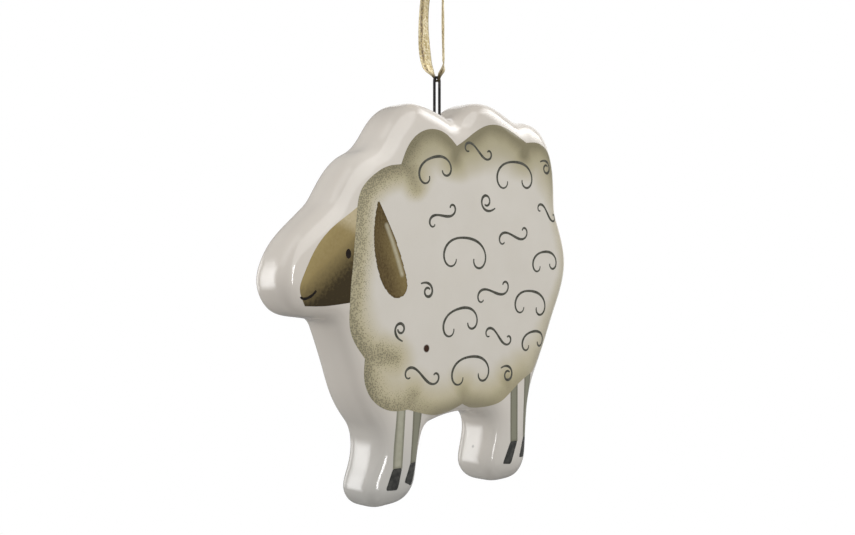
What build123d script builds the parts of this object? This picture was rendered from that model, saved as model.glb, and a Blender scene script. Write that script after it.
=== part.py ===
from build123d import *
import math
import os

# Hanging sheep ornament: a cast and glazed slab in the outline of a standing sheep, with fired
# colours on its front face, hung from a wire hairpin and a loop of flat ribbon.
# X runs along the sheep with its head at -X, -Y is the coloured front, +Z is up.
# The origin is the point that the ribbon loop hangs from, and the wire is plumb below it.

# Sizes of the ceramic
body_length = 77.0
body_height = 78.3
body_thickness = 13.0
edge_radius = 3.5
valley_radius = 1.6
face_crown = 0.9

# Sizes of the fired colours, the leg lines' width as a share of body_length
colour_film = 0.1
leg_line_width_share = 0.0286

# Sizes of the wire hairpin and its setting
wire_diameter = 0.56
wire_leg_spacing = 1.4
wire_stand = 9.2
wire_depth = 6.0
pocket_diameter = 2.8
cement_diameter = 3.8
cement_rise = 0.8
cement_round = 0.6
valley_fill_share = 0.35

# Sizes of the ribbon loop and its knot
ribbon_drop = 23.3
ribbon_width = 3.0
ribbon_thickness = 0.25
loop_spread = 5.8
waist_shares = (0.5, 1.5, 2.0)
route_arc_share = 0.45
knot_length = 4.6
knot_depth = 3.2
knot_height = 3.4
knot_radius = 1.2
tail_length = 8.0
tail_lean = 2.0

# Clearances and overruns
eye_clearance = 0.1
wire_clearance = 0.15
pocket_end_gap = 0.2
cut_overrun = 2.0

# Outline of the ceramic, lobe by lobe and anticlockwise from the notch that holds the wire.
# Each point is a share of body_length from the plumb line and of body_height above the soles.
sheep_outline_shares = [
    [(0.010, 0.942), (-0.039, 0.960), (-0.091, 0.973), (-0.134, 0.975), (-0.169, 0.961),
     (-0.210, 0.923), (-0.236, 0.887), (-0.265, 0.856)],
    [(-0.265, 0.856), (-0.306, 0.836), (-0.342, 0.804), (-0.366, 0.772), (-0.395, 0.727)],
    [(-0.395, 0.727), (-0.449, 0.683), (-0.499, 0.638), (-0.532, 0.588), (-0.543, 0.545),
     (-0.530, 0.499), (-0.501, 0.470), (-0.448, 0.458), (-0.392, 0.450)],
    [(-0.392, 0.450), (-0.371, 0.400), (-0.344, 0.330), (-0.325, 0.279), (-0.294, 0.225),
     (-0.262, 0.187)],
    [(-0.262, 0.187), (-0.256, 0.145), (-0.268, 0.092), (-0.282, 0.038), (-0.260, 0.005),
     (-0.213, 0.000), (-0.164, 0.008), (-0.132, 0.036), (-0.119, 0.087), (-0.109, 0.145),
     (-0.096, 0.184)],
    [(-0.096, 0.184), (-0.045, 0.197), (0.019, 0.206), (0.078, 0.204), (0.135, 0.187)],
    [(0.135, 0.187), (0.140, 0.149), (0.127, 0.092), (0.126, 0.049), (0.155, 0.018),
     (0.203, 0.012), (0.252, 0.020), (0.282, 0.052), (0.291, 0.113), (0.294, 0.177),
     (0.301, 0.228), (0.319, 0.280)],
    [(0.319, 0.280), (0.362, 0.356), (0.405, 0.445), (0.447, 0.534), (0.457, 0.588),
     (0.447, 0.644), (0.412, 0.726)],
    [(0.412, 0.726), (0.410, 0.796), (0.403, 0.859), (0.379, 0.916), (0.340, 0.952),
     (0.294, 0.962), (0.255, 0.958)],
    [(0.255, 0.958), (0.207, 0.977), (0.160, 0.994), (0.112, 0.998), (0.064, 0.984),
     (0.029, 0.958), (0.010, 0.942)],
]

# Outline of the fleece colour, lobe by lobe, in the same shares
fleece_outline_shares = [
    [(-0.004, 0.876), (-0.045, 0.905), (-0.096, 0.911), (-0.135, 0.898), (-0.171, 0.866),
     (-0.196, 0.819)],
    [(-0.196, 0.819), (-0.235, 0.813), (-0.281, 0.791), (-0.325, 0.747), (-0.338, 0.694),
     (-0.348, 0.600), (-0.359, 0.500), (-0.348, 0.415), (-0.312, 0.361)],
    [(-0.312, 0.361), (-0.309, 0.310), (-0.278, 0.256), (-0.230, 0.233), (-0.176, 0.232)],
    [(-0.176, 0.232), (-0.120, 0.217), (-0.060, 0.209), (-0.020, 0.213), (0.021, 0.230)],
    [(0.021, 0.230), (0.060, 0.217), (0.110, 0.215), (0.160, 0.226), (0.198, 0.248)],
    [(0.198, 0.248), (0.246, 0.278), (0.290, 0.296)],
    [(0.290, 0.296), (0.344, 0.372), (0.386, 0.455), (0.428, 0.541), (0.437, 0.588),
     (0.428, 0.638), (0.393, 0.722)],
    [(0.393, 0.722), (0.391, 0.790), (0.382, 0.846), (0.360, 0.888), (0.315, 0.906),
     (0.266, 0.903)],
    [(0.266, 0.903), (0.201, 0.931), (0.128, 0.940), (0.072, 0.920), (0.025, 0.892),
     (-0.004, 0.876)],
]

# Outline of the head colour, which runs on under the fleece colour and is cut by it
head_outline_shares = [
    [(-0.310, 0.712), (-0.355, 0.699), (-0.405, 0.666), (-0.453, 0.620), (-0.490, 0.557),
     (-0.500, 0.527), (-0.482, 0.486)],
    [(-0.482, 0.486), (-0.437, 0.485), (-0.358, 0.492), (-0.310, 0.500)],
    [(-0.310, 0.500), (-0.310, 0.712)],
]

# Outline of the hanging ear, from its tip down the head side and up the rump side
ear_outline_shares = [
    [(-0.272, 0.740), (-0.288, 0.660), (-0.276, 0.562), (-0.252, 0.519), (-0.214, 0.498),
     (-0.184, 0.512), (-0.186, 0.561), (-0.236, 0.677), (-0.272, 0.740)],
]

# Place of the eye, and its half width and half height as shares of the same lengths
eye_place_shares = (-0.364, 0.604)
eye_radius_shares = (0.0085, 0.0125)

# Leg lines: the top and the bottom of each one's middle line
leg_line_shares = [
    [(-0.197, 0.250), (-0.205, 0.092)],
    [(-0.143, 0.240), (-0.149, 0.100)],
    [(0.210, 0.290), (0.215, 0.116)],
    [(0.266, 0.310), (0.270, 0.122)],
]
# Hooves: four corners each, hung under the leg lines
hoof_outline_shares = [
    [(-0.219, 0.092), (-0.191, 0.092), (-0.203, 0.041), (-0.240, 0.044)],
    [(-0.163, 0.100), (-0.135, 0.100), (-0.152, 0.045), (-0.182, 0.057)],
    [(0.201, 0.116), (0.229, 0.116), (0.205, 0.058), (0.172, 0.062)],
    [(0.256, 0.122), (0.276, 0.122), (0.264, 0.070), (0.238, 0.072)],
]

# Levels and places that follow from the sizes
wire_radius = wire_diameter / 2
bend_radius = wire_leg_spacing / 2
eye_z = -ribbon_drop
wire_top_z = eye_z + bend_radius + wire_radius
notch_z = wire_top_z - wire_stand
notch_height_share = sheep_outline_shares[0][0][1]
seat_z = notch_z + valley_fill_share * valley_radius
sole_z = notch_z - notch_height_share * body_height
half_thickness = body_thickness / 2


def spot(length_share, height_share):
    """A point of the face in the XZ plane, from its two shares."""
    return (length_share * body_length, sole_z + height_share * body_height)


def outline_face(lobes):
    """A closed face whose edge is one smooth curve for each lobe."""
    with BuildSketch() as face:
        with BuildLine():
            for lobe in lobes:
                Spline(*[spot(*point) for point in lobe])
        make_face()
    return face.sketch


def arc_radii(points):
    """The largest radius that each inner corner of a ribbon's route has room for."""
    radii = []
    for before, corner, after in zip(points, points[1:], points[2:]):
        run_in = Vector(*corner) - Vector(*before)
        run_out = Vector(*after) - Vector(*corner)
        half_turn = math.radians(run_in.get_angle(run_out) / 2)
        radii.append(route_arc_share * min(run_in.length, run_out.length) / math.tan(half_turn))
    return radii


# Ceramic body: the outline as a slab, crowned on both faces, with soft valleys and soft edges
crown_reach = max(body_length, body_height) / 2
crown_radius = (crown_reach**2 + face_crown**2) / (2 * face_crown)
middle_z = sole_z + body_height / 2
with BuildPart() as ceramic_body:
    with BuildSketch(Plane.XZ):
        add(outline_face(sheep_outline_shares))
    extrude(amount=half_thickness, both=True)
    fillet(ceramic_body.edges().filter_by(Axis.Y), radius=valley_radius)
    for side in (-1, 1):
        with Locations((0, side * (half_thickness - crown_radius), middle_z)):
            Sphere(crown_radius, mode=Mode.INTERSECT)
    crowned_faces = ceramic_body.faces().filter_by(GeomType.SPHERE)
    fillet(crowned_faces.edges(), radius=edge_radius)
    cast_form = ceramic_body.part
    with BuildSketch(Plane.XY.offset(notch_z - wire_depth)):
        Circle(pocket_diameter / 2)
    extrude(amount=wire_depth + wire_stand, mode=Mode.SUBTRACT)
ceramic_body.part.label = "ceramic_body"

# Wire hangs: a hairpin with its bend up, both legs standing in the pocket of the notch
with BuildPart() as wire_hanger:
    leg_foot_z = notch_z - wire_depth + pocket_end_gap
    with BuildLine(Plane.XZ) as hairpin:
        near_leg = Line((-bend_radius, leg_foot_z), (-bend_radius, eye_z))
        bend = ThreePointArc(near_leg @ 1, (0, eye_z + bend_radius), (bend_radius, eye_z))
        Line(bend @ 1, (bend_radius, leg_foot_z))
    with BuildSketch(Plane(origin=near_leg @ 0, z_dir=near_leg % 0)):
        Circle(wire_radius)
    sweep()
wire_hanger.part.label = "wire_hanger"

# Hanger cement: fills the pocket round the legs and stands up as a low bead in the notch
with BuildPart() as hanger_cement:
    with BuildSketch(Plane.XY.offset(seat_z - cement_rise)):
        Circle(cement_diameter / 2)
    extrude(amount=2 * cement_rise)
    fillet(hanger_cement.edges().sort_by(Axis.Z)[-1:], radius=cement_round)
    add(cast_form, mode=Mode.SUBTRACT)
    with BuildSketch(Plane.XY.offset(notch_z - wire_depth)):
        Circle(pocket_diameter / 2)
    extrude(amount=seat_z - notch_z + wire_depth)
    add(wire_hanger.part, mode=Mode.SUBTRACT)
hanger_cement.part.label = "hanger_cement"

# The fired colours are thin films on the front, so each one is the prism of its outline, kept
# between the glaze and the same surface moved forward by the thickness of the film
film_outer = Pos(0, -colour_film, 0) * cast_form
film_plane = Plane.XZ.offset(half_thickness - edge_radius)
film_reach = edge_radius + cut_overrun

with BuildPart() as fleece_print:
    with BuildSketch(film_plane):
        add(outline_face(fleece_outline_shares))
        add(outline_face(ear_outline_shares), mode=Mode.SUBTRACT)
    extrude(amount=film_reach)
    add(film_outer, mode=Mode.INTERSECT)
    add(cast_form, mode=Mode.SUBTRACT)
fleece_print.part.label = "fleece_print"

with BuildPart() as ear_print:
    with BuildSketch(film_plane):
        add(outline_face(ear_outline_shares))
    extrude(amount=film_reach)
    add(film_outer, mode=Mode.INTERSECT)
    add(cast_form, mode=Mode.SUBTRACT)
ear_print.part.label = "ear_print"

eye_half_width = eye_radius_shares[0] * body_length
eye_half_height = eye_radius_shares[1] * body_height
with BuildPart() as head_print:
    with BuildSketch(film_plane):
        add(outline_face(head_outline_shares))
        add(outline_face(fleece_outline_shares), mode=Mode.SUBTRACT)
        with Locations(spot(*eye_place_shares)):
            Ellipse(eye_half_width, eye_half_height, mode=Mode.SUBTRACT)
    extrude(amount=film_reach)
    add(film_outer, mode=Mode.INTERSECT)
    add(cast_form, mode=Mode.SUBTRACT)
head_print.part.label = "head_print"

with BuildPart() as eye_print:
    with BuildSketch(film_plane):
        with Locations(spot(*eye_place_shares)):
            Ellipse(eye_half_width, eye_half_height)
    extrude(amount=film_reach)
    add(film_outer, mode=Mode.INTERSECT)
    add(cast_form, mode=Mode.SUBTRACT)
eye_print.part.label = "eye_print"

with BuildPart() as leg_prints:
    with BuildSketch(film_plane):
        for top, bottom in leg_line_shares:
            across = leg_line_width_share * body_length / 2
            (top_x, top_z), (bottom_x, bottom_z) = spot(*top), spot(*bottom)
            with BuildLine():
                Polyline(
                    (top_x - across, top_z),
                    (bottom_x - across, bottom_z),
                    (bottom_x + across, bottom_z),
                    (top_x + across, top_z),
                    close=True,
                )
            make_face()
        add(outline_face(fleece_outline_shares), mode=Mode.SUBTRACT)
    extrude(amount=film_reach)
    add(film_outer, mode=Mode.INTERSECT)
    add(cast_form, mode=Mode.SUBTRACT)
leg_prints.part.label = "leg_prints"

with BuildPart() as hoof_prints:
    with BuildSketch(film_plane):
        for corners in hoof_outline_shares:
            with BuildLine():
                Polyline(*[spot(*corner) for corner in corners], close=True)
            make_face()
    extrude(amount=film_reach)
    add(film_outer, mode=Mode.INTERSECT)
    add(cast_form, mode=Mode.SUBTRACT)
hoof_prints.part.label = "hoof_prints"

# Ribbon loop: down from the knot behind the wire, under its bend through the eye and up in front.
# The route is in the YZ plane, and the ribbon is flat to the sheep's face.
turn_y = wire_radius + wire_clearance + ribbon_thickness / 2
side_y = loop_spread / 2
ribbon_route = [
    (0.2, -0.45),
    (2.3, -4.2),
    (side_y, -10.3),
    (2.7, -17.4),
    (turn_y, -21.2),
    (turn_y, eye_z),
    (-turn_y, eye_z),
    (-turn_y, -21.3),
    (-2.6, -17.0),
    (-side_y, -10.8),
    (-2.4, -4.5),
    (-0.2, -0.45),
]
ribbon_radii = arc_radii(ribbon_route)
waist = wire_leg_spacing - wire_diameter - 2 * eye_clearance
edge_z, shoulder_z, full_z = (eye_z + share * ribbon_width for share in waist_shares)
with BuildPart() as ribbon_loop:
    with BuildLine(Plane.YZ) as route:
        FilletPolyline(*ribbon_route, radius=ribbon_radii)
    with BuildSketch(Plane(origin=route.line @ 0, x_dir=(1, 0, 0), z_dir=route.line % 0)):
        Rectangle(ribbon_width, ribbon_thickness)
    sweep()
    with BuildSketch(Plane.XZ):
        with BuildLine():
            Polyline(
                (-ribbon_width, 0),
                (-ribbon_width, full_z),
                (-ribbon_width / 2, shoulder_z),
                (-waist / 2, edge_z),
                (-waist / 2, eye_z - ribbon_width),
                (waist / 2, eye_z - ribbon_width),
                (waist / 2, edge_z),
                (ribbon_width / 2, shoulder_z),
                (ribbon_width, full_z),
                (ribbon_width, 0),
                close=True,
            )
        make_face()
    extrude(amount=loop_spread, both=True, mode=Mode.INTERSECT)
ribbon_loop.part.label = "ribbon_loop"
print("ribbon radii", [round(radius, 2) for radius in ribbon_radii])
ribbon_length = sum(edge.length for edge in route.edges())
ribbon_section = ribbon_width * ribbon_thickness
print("ribbon length", round(ribbon_length, 2))
print("ribbon volume", round(ribbon_loop.part.volume, 2), "of", round(ribbon_length * ribbon_section, 2))

# Ribbon knot: the two ends tied round each other above the loop, with their cut tails
with BuildPart() as ribbon_knot:
    with BuildSketch():
        SlotOverall(knot_length, knot_depth)
    extrude(amount=knot_height)
    fillet(ribbon_knot.edges(), radius=knot_radius)
    for side in (-1, 1):
        tail_foot = (side * ribbon_thickness, knot_height / 2)
        tail_bend = (side * 2 * ribbon_thickness, knot_height + ribbon_thickness)
        tail_end = (side * tail_lean, knot_height + tail_length)
        with BuildLine(Plane.YZ) as tail:
            FilletPolyline(tail_foot, tail_bend, tail_end, radius=knot_radius)
        with BuildSketch(Plane(origin=tail.line @ 0, x_dir=(1, 0, 0), z_dir=tail.line % 0)):
            Rectangle(ribbon_width, ribbon_thickness)
        sweep(path=tail.line)
ribbon_knot.part.label = "ribbon_knot"

os.makedirs("parts", exist_ok=True)
export_step(ceramic_body.part, "parts/ceramic_body.step")
export_step(wire_hanger.part, "parts/wire_hanger.step")
export_step(hanger_cement.part, "parts/hanger_cement.step")
export_step(fleece_print.part, "parts/fleece_print.step")
export_step(head_print.part, "parts/head_print.step")
export_step(eye_print.part, "parts/eye_print.step")
export_step(ear_print.part, "parts/ear_print.step")
export_step(leg_prints.part, "parts/leg_prints.step")
export_step(hoof_prints.part, "parts/hoof_prints.step")
export_step(ribbon_loop.part, "parts/ribbon_loop.step")
export_step(ribbon_knot.part, "parts/ribbon_knot.step")
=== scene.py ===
import math

import bmesh
import bpy
import numpy as np
from mathutils.geometry import delaunay_2d_cdt
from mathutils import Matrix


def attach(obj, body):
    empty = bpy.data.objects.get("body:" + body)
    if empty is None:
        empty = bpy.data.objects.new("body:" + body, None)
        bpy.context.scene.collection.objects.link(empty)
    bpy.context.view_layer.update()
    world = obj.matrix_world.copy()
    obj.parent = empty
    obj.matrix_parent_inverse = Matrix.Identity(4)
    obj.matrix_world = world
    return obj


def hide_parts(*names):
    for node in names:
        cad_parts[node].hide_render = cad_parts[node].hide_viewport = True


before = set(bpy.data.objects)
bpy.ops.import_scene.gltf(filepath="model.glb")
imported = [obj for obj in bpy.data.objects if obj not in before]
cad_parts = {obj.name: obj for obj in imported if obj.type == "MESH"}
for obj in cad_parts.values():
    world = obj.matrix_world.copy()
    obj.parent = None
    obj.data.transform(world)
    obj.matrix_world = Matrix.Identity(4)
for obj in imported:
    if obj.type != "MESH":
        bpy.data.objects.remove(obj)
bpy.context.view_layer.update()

# Camera: level with the middle of the ornament, 24 cm away and 44 degrees round from its front
# towards its head, so that the wall on that side shows.
camera_data = bpy.data.cameras.new("camera")
camera_data.lens = 50.1
camera_data.sensor_width = 36.0
camera_data.clip_start = 0.01
camera = bpy.data.objects.new("camera", camera_data)
camera.location = (-0.1660, -0.1692, -0.06045)
camera.rotation_euler = (math.pi / 2, 0, math.radians(-44.0))
bpy.context.collection.objects.link(camera)
bpy.context.scene.camera = camera
bpy.context.scene.view_settings.view_transform = "Standard"


# Surroundings: a room that the camera sees as white, a pale table under the ornament, and soft
# lamps: behind it, at both sides, above the front, a window at the right, and a narrow one at
# the front left that draws the white streaks on the legs' edges.
class Tone:
    """A shader socket that adds, takes away and multiplies like a number."""

    def __init__(self, tree, socket=None):
        self.tree, self.socket = tree, socket

    def node(self, kind, out=0, stops=None, sockets=None, **settings):
        """A node of this tree: its settings first, then a ramp's stops, then its sockets."""
        made = self.tree.nodes.new(kind)
        for name, value in settings.items():
            setattr(made, name, value)
        if stops:
            ramp = made.color_ramp
            ramp.interpolation = "EASE"
            while len(ramp.elements) < len(stops):
                ramp.elements.new(1.0)
            for element, (place, colour) in zip(ramp.elements, stops):
                element.position, element.color = place, colour
        for name, value in (sockets or {}).items():
            if isinstance(value, Tone):
                self.tree.links.new(value.socket, made.inputs[name])
            else:
                made.inputs[name].default_value = value
        return Tone(self.tree, made.outputs[out] if made.outputs else None)

    def math(self, operation, other, swap=False):
        """One Math node of this value and another, in the other order if swap is set."""
        pair = {0: other, 1: self} if swap else {0: self, 1: other}
        return self.node("ShaderNodeMath", operation=operation, sockets=pair)

    def __add__(self, other):
        return self.math("ADD", other)

    __radd__ = __add__

    def __sub__(self, other):
        return self.math("SUBTRACT", other)

    def __rsub__(self, other):
        return self.math("SUBTRACT", other, swap=True)

    def __mul__(self, other):
        return self.math("MULTIPLY", other)

    __rmul__ = __mul__

    def step(self, low, high):
        """0 below low, 1 above high and a smooth rise between them. Either may be a Tone."""
        range_ends = {"Value": self, "From Min": low, "From Max": high}
        return self.node(
            "ShaderNodeMapRange", interpolation_type="SMOOTHSTEP", sockets=range_ends
        )

    def blend(self, first, second):
        """The first colour where this value is 0 and the second where it is 1."""
        colours = {0: self, 6: first, 7: second}
        return self.node("ShaderNodeMix", out=2, data_type="RGBA", sockets=colours)


def dye(red, green, blue):
    """A colour of 0 to 255 as it looks, turned into the shader's linear light."""
    tones = np.array([red, green, blue]) / 255
    light = np.where(tones <= 0.04045, tones / 12.92, ((tones + 0.055) / 1.055) ** 2.4)
    return (*light.tolist(), 1.0)


room = bpy.data.worlds.new("room")
room.use_nodes = True
bpy.context.scene.world = room
room_light = 0.24
room_tree = room.node_tree
room_tree.nodes.clear()
ray = room_tree.nodes.new("ShaderNodeLightPath")
seen = Tone(room_tree, ray.outputs["Is Camera Ray"])
backdrop = seen.node(
    "ShaderNodeBackground",
    sockets={"Color": (1, 1, 1, 1), "Strength": room_light + (1 - room_light) * seen},
)
backdrop.node("ShaderNodeOutputWorld", sockets={"Surface": backdrop})

table_z, table_reach = -0.42, 0.32
turn = np.linspace(0, 2 * np.pi, 96, endpoint=False)
rim = table_reach * np.stack([np.cos(turn), np.sin(turn)], axis=1)
table_mesh = bpy.data.meshes.new("table")
table_mesh.from_pydata([(x, y, table_z) for x, y in rim.tolist()], [], [list(range(96))])
table = bpy.data.objects.new("table", table_mesh)
bpy.context.collection.objects.link(table)
table_paint = bpy.data.materials.new("table_paint")
table_paint.use_nodes = True
table_shader = table_paint.node_tree.nodes["Principled BSDF"]
table_shader.inputs["Base Color"].default_value = dye(174, 173, 170)
table_shader.inputs["Roughness"].default_value = 0.8
table_mesh.materials.append(table_paint)


heart = np.array([0.0, 0.0, -0.065])


def lamp(name, place, size, watts):
    """A rectangular soft lamp at a place, facing the heart of the ornament."""
    data = bpy.data.lights.new(name, "AREA")
    data.shape = "RECTANGLE"
    data.size, data.size_y = size
    data.energy = watts
    made = bpy.data.objects.new(name, data)
    made.location = place
    x, y, z = place - heart
    made.rotation_euler = (math.atan2(math.hypot(x, y), z), 0, math.atan2(y, x) + math.pi / 2)
    bpy.context.collection.objects.link(made)


def lamp_nest(name, place, size, watts, shares, least=0.0):
    """Lamps as bright as each other, one just below the next and each smaller, which together
    fade towards their edges. Their width is a share of the first one's, and their height goes
    from least to the whole of it with that share."""
    for number, share in enumerate(shares):
        tall = least + (1 - least) * share
        lowered = (place[0], place[1], place[2] - 0.004 * number)
        spread = (size[0] * share, size[1] * tall)
        lamp(f"{name}_{number}", lowered, spread, watts * share * tall)


left_shares = (1.0, 0.86, 0.72, 0.58, 0.44, 0.30)
lamp_nest("left_lamp", (-0.58, 0.60, 0.02), (0.50, 0.75), 1.12, left_shares, least=0.3)
lamp("shoulder_lamp", (-0.55, 0.05, 0.60), (0.6, 0.6), 1.1)
lamp("right_lamp", (0.66, 0.38, 0.20), (0.7, 0.9), 1.85)
lamp("top_lamp", (0.0, -0.56, 0.48), (0.8, 0.6), 2.95)
lamp_nest("window_lamp", (0.63, -0.23, 0.39), (0.44, 0.52), 1.15, (1.0, 0.8, 0.6, 0.4))
lamp("back_lamp", (-0.14, 0.85, -0.02), (0.35, 0.50), 0.9)
lamp("streak_lamp", (-0.24, -0.59, 0.02), (0.05, 0.32), 1.0)


# Ribbon: 3 mm wide woven gold ribbon, one length hung from its knot. It comes down behind the
# wire, passes through the eye gathered into folds, and goes back up in front, turned edge on.
def cells_of(index):
    """The four corners of each cell in a grid of vertex numbers."""
    cells = [index[:-1, :-1], index[1:, :-1], index[1:, 1:], index[:-1, 1:]]
    return np.stack(cells, axis=-1).reshape(-1, 4)


def end_cells(columns):
    """The four corners, as places in the row, of each quad across the end of a flat tube. Its
    row runs over the columns of one face and back over those of the other."""
    first = np.arange(columns - 1)
    last = 2 * columns - 1 - first
    return np.stack([first, first + 1, last - 1, last], axis=1)


def grid_of(*parts):
    """The grid of points with these parts, each spread over the whole grid."""
    return np.stack(np.broadcast_arrays(*parts), axis=-1)


def grid_mesh(name, points, uv=None, ends=False):
    """A closed mesh of the grid of points [u, v]. Points that repeat at a seam or a pole are
    welded. With ends, quads across a tube's first and last row close it. Faces are turned
    over if the volume that they enclose comes out negative."""
    count_u, count_v = points.shape[:2]
    index = np.arange(count_u * count_v).reshape(count_u, count_v)
    faces = cells_of(index)
    if ends:
        over = end_cells(count_v // 2)
        faces = np.concatenate([faces, index[0][over], index[-1][over[:, ::-1]]])
    mesh = bpy.data.meshes.new(name)
    mesh.from_pydata(points.reshape(-1, 3).tolist(), [], faces.tolist())
    mesh.polygons.foreach_set("use_smooth", [True] * len(mesh.polygons))
    if uv is not None:
        layer = mesh.uv_layers.new(name="weave")
        corners = np.empty(len(mesh.loops), dtype=np.int32)
        mesh.loops.foreach_get("vertex_index", corners)
        layer.data.foreach_set("uv", uv.reshape(-1, 2)[corners].ravel())
    shell = bmesh.new()
    shell.from_mesh(mesh)
    bmesh.ops.remove_doubles(shell, verts=shell.verts, dist=1e-8)
    if shell.calc_volume(signed=True) < 0:
        bmesh.ops.reverse_faces(shell, faces=shell.faces)
    shell.to_mesh(mesh)
    shell.free()
    return mesh


def add_piece(name, mesh, material, body, node=None):
    """A new piece that rides on a body and takes the material given to it. It may stand in
    for a node of the CAD."""
    made = bpy.data.objects.new(name, mesh)
    bpy.context.collection.objects.link(made)
    mesh.materials.append(material)
    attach(made, body)
    if node:
        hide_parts(node)
    return made


ribbon_width, ribbon_thickness, waist_width = 0.0030, 0.00018, 0.00062
pinch_fold, slow_fold, bow_depth = 0.00013, 0.00006, 0.00012
ribbon_route = [
    (-0.0002, 0.00020, -0.00045),
    (-0.0006, 0.00230, -0.00420),
    (-0.0008, 0.00320, -0.01030),
    (-0.0006, 0.00290, -0.01740),
    (-0.0003, 0.00230, -0.02090),
    (0.0000, 0.000555, -0.02240),
    (0.0000, 0.000555, -0.02330),
    (0.0000, -0.000555, -0.02330),
    (0.0000, -0.000555, -0.02240),
    (-0.0002, -0.00200, -0.02110),
    (-0.0004, -0.00215, -0.01740),
    (-0.0008, -0.00245, -0.01080),
    (-0.0006, -0.00220, -0.00450),
    (-0.0002, -0.00020, -0.00045),
]
route_data = bpy.data.curves.new("ribbon_route", "CURVE")
route_data.dimensions = "3D"
route_line = route_data.splines.new("NURBS")
route_line.points.add(len(ribbon_route) - 1)
for point, place in zip(route_line.points, ribbon_route):
    point.co = (*place, 1.0)
route_line.order_u = 3
route_line.use_endpoint_u = True
route_line.resolution_u = 24
route_object = bpy.data.objects.new("ribbon_route", route_data)
route_mesh = bpy.data.meshes.new_from_object(route_object)
ribbon_line = np.array([tuple(vertex.co) for vertex in route_mesh.vertices])
bpy.data.objects.remove(route_object)


def run_along(line):
    """How far along a line each of its points lies."""
    return np.concatenate([[0.0], np.cumsum(np.linalg.norm(np.diff(line, axis=0), axis=1))])


def unit(vectors):
    """The same vectors at length 1."""
    return vectors / np.linalg.norm(vectors, axis=-1)[..., None]


def rise(value, low, high):
    """0 below low, 1 above high and the smooth cubic 3t^2 - 2t^3 between them."""
    share = np.clip((value - low) / (high - low), 0, 1)
    return share * share * (3 - 2 * share)


# The ribbon's width turns from flat to the face, on the rear strand, to edge on to the left,
# on the front one. Its section is a band whose two faces are folded into waves at the eye.
ribbon_line = ribbon_line[np.concatenate([[True], np.diff(run_along(ribbon_line)) > 1e-7])]
along = run_along(ribbon_line)
ribbon_length = float(along[-1])
tangents = unit(np.gradient(ribbon_line, axis=0))
eye_turn = along[np.argmin(ribbon_line[:, 2])]
from_eye = along - eye_turn
knot_share = rise(ribbon_length - along, 0.0, 0.006)
turned = np.radians(52.0) * rise(from_eye, 0.0005, 0.0050) * knot_share
turned = turned + np.radians(9.0) * np.sin(along / 0.0045) * rise(-from_eye, 0.003, 0.008)
broad = np.stack([np.cos(turned), np.sin(turned), np.zeros_like(turned)], axis=1)
broad = unit(broad - tangents * np.sum(broad * tangents, axis=1)[:, None])
proud = np.cross(broad, tangents)
from_knot = np.minimum(along, ribbon_length - along)
gather = rise(np.abs(from_eye), 0.0006, 0.0038) * (0.40 + 0.60 * rise(from_knot, 0.0, 0.0050))
width = waist_width + (ribbon_width - waist_width) * gather
fold = pinch_fold * (1 - gather) + slow_fold * np.sin(along / 0.0021)

across = np.linspace(-0.5, 0.5, 25)
folds = np.cos(across * 2 * np.pi * 2.0)
bow = 1 - 4 * across**2
plump = 0.5 * ribbon_thickness * (1.6 - 0.6 * gather)
half = plump[:, None] * np.sqrt(np.clip(1 - (2 * np.abs(across)) ** 8, 0.02, 1))[None, :]
lift = fold[:, None] * folds[None, :] * 0.8 + bow_depth * gather[:, None] * bow[None, :]
middle_face = ribbon_line[:, None] + broad[:, None] * (width[:, None] * across)[..., None]
front_face = middle_face + proud[:, None] * (lift + half)[..., None]
back_face = middle_face + proud[:, None] * (lift - half)[..., None]


def band_mesh(name, top, under, across, along, ends):
    """The closed mesh of a band of ribbon from the grids of its two faces. Its weave runs
    three units across the band, and one for each millimetre along it."""
    loop = np.concatenate([top, under[:, ::-1], top[:, :1]], axis=1)
    around = np.concatenate([across, across[::-1], across[:1]]) + 0.5
    uv = grid_of(around[None, :] * 3.0, along[:, None] * 1000)
    return grid_mesh(name, loop, uv=uv, ends=ends)


def new_material(name, source="ShaderNodeTexCoord", coordinates="Object"):
    """A new material, its shader, and the place on the piece that its pattern follows."""
    material = bpy.data.materials.new(name)
    material.use_nodes = True
    tree = material.node_tree
    place = Tone(tree, tree.nodes.new(source).outputs[coordinates])
    return material, tree.nodes["Principled BSDF"], place


def feed(shader, tones):
    """Links each value into the shader's socket of that name."""
    for name, tone in tones.items():
        tone.tree.links.new(tone.socket, shader.inputs[name])


def bumps(height, strength, distance):
    """The normals of a surface with this height over it."""
    sizes = {"Height": height, "Strength": strength, "Distance": distance}
    return height.node("ShaderNodeBump", sockets=sizes)


def part(place, axis):
    """One coordinate of a place: x for 0, y for 1 and z for 2."""
    return place.node("ShaderNodeSeparateXYZ", out=axis, sockets={0: place})


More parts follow.
